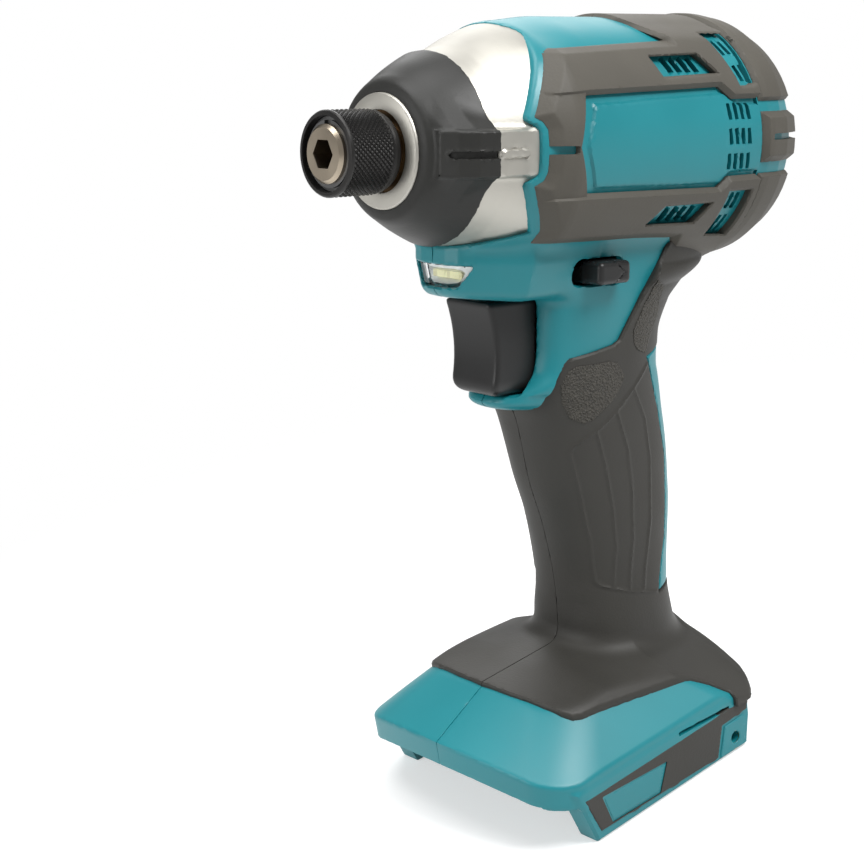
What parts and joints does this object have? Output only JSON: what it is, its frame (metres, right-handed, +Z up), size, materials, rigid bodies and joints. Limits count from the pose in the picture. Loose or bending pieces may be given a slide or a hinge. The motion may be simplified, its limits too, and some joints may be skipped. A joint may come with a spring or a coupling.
{
  "type": "cordless impact driver",
  "caption": "Pistol-grip cordless impact driver without its battery: hammer case with hex bit sleeve, motor housing, trigger, reversing lever and battery foot.",
  "frame": {"origin": "middle of the object's footprint box, on the plane that the battery rails stand on", "axes": "+X forward along the battery rails, +Y the tool's left side, +Z up; the drive axis points nose up by 12 degrees in the XZ plane"},
  "size_m": [0.1402, 0.0772, 0.1968],
  "materials": {
    "teal": "fine-grained moulded housing plastic",
    "grip": "soft overmoulded elastomer, finely stippled",
    "bumper": "dark rubber nose bumper",
    "case": "cast and tumbled light alloy",
    "sleeve": "blackened knurled steel",
    "anvil": "warm-toned heat-treated steel",
    "steel": "machined steel",
    "dark_steel": "blackened machined steel",
    "bronze": "sintered bronze",
    "nylon": "natural nylon",
    "black": "black moulded plastic",
    "magnet": "sintered ferrite",
    "copper": "copper alloy",
    "lens": "clear moulded lens",
    "board": "circuit board",
    "terminal": "moulded terminal holder",
    "lead": "insulated lead",
    "brass_nut": "tapped insert"
  },
  "bodies": {
    "body": {"housing_left": "teal", "housing_right": "teal", "rear_cover": "teal", "grip_left": "grip", "grip_right": "grip", "head_pad_left": "grip", "head_pad_right": "grip", "rear_bumper_top": "grip", "rear_bumper_bottom": "grip", "rear_bumper_left": "grip", "rear_bumper_right": "grip", "foot_pad_left": "grip", "foot_pad_right": "grip", "hammer_case": "case", "nose_bumper": "bumper", "anvil_bush": "bronze", "thrust_washer": "nylon", "ring_gear": "steel", "gear_case": "black", "spindle_bearing": "steel", "motor_front_bearing": "steel", "motor_rear_bearing": "steel", "yoke": "dark_steel", "magnets": "magnet", "brush_holder": "black", "carbon_brushes": "magnet", "switch_body": "black", "trigger_spring": "steel", "lever_pin": "steel", "led_lens": "lens", "led_board": "board", "terminal_block": "terminal", "terminal_blades": "copper", "battery_leads": "lead", "hook_nuts": "brass_nut", "housing_screws": "dark_steel", "rear_cover_screws": "dark_steel"},
    "spindle": {"spindle": "steel", "planet_pins": "steel", "spring_seat": "steel", "cam_balls": "steel", "hammer_spring": "steel"},
    "planet_1": {"planet_gear_1": "dark_steel"},
    "planet_2": {"planet_gear_2": "dark_steel"},
    "hammer": {"hammer": "dark_steel"},
    "anvil": {"anvil": "anvil", "bit_ball": "steel", "sleeve_washer": "dark_steel", "retaining_ring": "dark_steel", "sleeve_spring": "steel"},
    "sleeve": {"bit_sleeve": "sleeve"},
    "armature": {"armature_core": "dark_steel", "motor_shaft": "steel", "motor_pinion": "steel", "commutator": "copper", "cooling_fan": "black"},
    "trigger": {"trigger": "black"},
    "lever": {"reverse_lever": "black"}
  },
  "joints": [
    {"name": "motor_spin", "type": "hinge", "parent": "body", "child": "armature", "pos_m": [-0.03813, 0, 0.15508], "axis": [0.9781, 0, 0.2079], "continuous": true},
    {"name": "spindle_spin", "type": "hinge", "parent": "body", "child": "spindle", "pos_m": [0.001, 0, 0.1634], "axis": [0.9781, 0, 0.2079], "continuous": true},
    {"name": "planet_1_spin", "type": "hinge", "parent": "spindle", "child": "planet_1", "pos_m": [-0.00634, 0.0129, 0.16184], "axis": [0.9781, 0, 0.2079], "continuous": true},
    {"name": "planet_2_spin", "type": "hinge", "parent": "spindle", "child": "planet_2", "pos_m": [-0.00634, -0.0129, 0.16184], "axis": [0.9781, 0, 0.2079], "continuous": true},
    {"name": "anvil_spin", "type": "hinge", "parent": "body", "child": "anvil", "pos_m": [0.04502, 0, 0.17276], "axis": [0.9781, 0, 0.2079], "continuous": true},
    {"name": "hammer_recoil", "type": "slide", "parent": "spindle", "child": "hammer", "axis": [0.9781, 0, 0.2079], "range_m": [-0.006, 0], "stiffness_N_per_m": 3000, "springref_m": 0.004, "deforming": ["hammer_spring"]},
    {"name": "sleeve_pull", "type": "slide", "parent": "anvil", "child": "sleeve", "axis": [0.9781, 0, 0.2079], "range_m": [0, 0.004], "stiffness_N_per_m": 400, "springref_m": -0.004, "deforming": ["sleeve_spring"]},
    {"name": "trigger_pull", "type": "slide", "parent": "body", "child": "trigger", "axis": [-0.9781, 0, -0.2079], "range_m": [0, 0.006], "stiffness_N_per_m": 500, "springref_m": -0.004, "deforming": ["trigger_spring"]},
    {"name": "reverse_swing", "type": "hinge", "parent": "body", "child": "lever", "pos_m": [-0.00425, 0, 0.13039], "axis": [-0.2079, 0, 0.9781], "range_deg": [-5, 5]}
  ],
  "couplings": [
    {"joint": "spindle_spin", "follows": "motor_spin", "ratio": 0.16667},
    {"joint": "anvil_spin", "follows": "motor_spin", "ratio": 0.16667},
    {"joint": "planet_1_spin", "follows": "motor_spin", "ratio": -0.41667},
    {"joint": "planet_2_spin", "follows": "motor_spin", "ratio": -0.41667}
  ]
}
